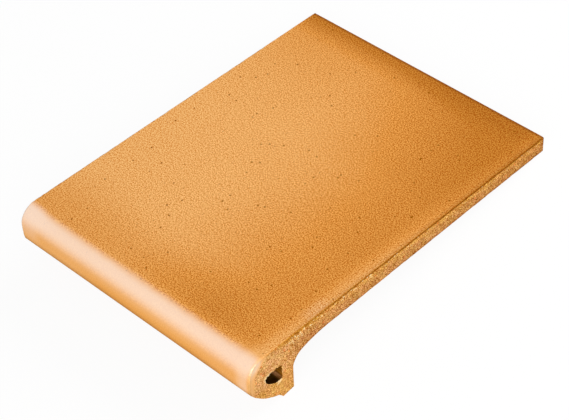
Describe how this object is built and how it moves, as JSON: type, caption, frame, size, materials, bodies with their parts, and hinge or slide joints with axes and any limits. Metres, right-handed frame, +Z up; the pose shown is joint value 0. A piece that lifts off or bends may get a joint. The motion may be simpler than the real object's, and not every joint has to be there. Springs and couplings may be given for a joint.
{
  "type": "stair tread tile",
  "caption": "Extruded clay stair tread tile: a flat plate with a hollow rounded nosing that hangs below it and ends in a small drip foot.",
  "frame": {"origin": "middle of the tile's footprint, on the floor it lies on", "axes": "+X along the nosing, +Y from the nosing towards the back edge, +Z up from the floor. The tile lies walking face up, as it rests unheld: on the flat of its foot and its lower back edge, so the walking face falls 7.7 degrees towards the back"},
  "size_m": [0.245, 0.3306, 0.0567],
  "materials": {
    "fired_clay": "matte"
  },
  "bodies": {
    "root": {"tread_tile": "fired_clay"}
  },
  "joints": []
}
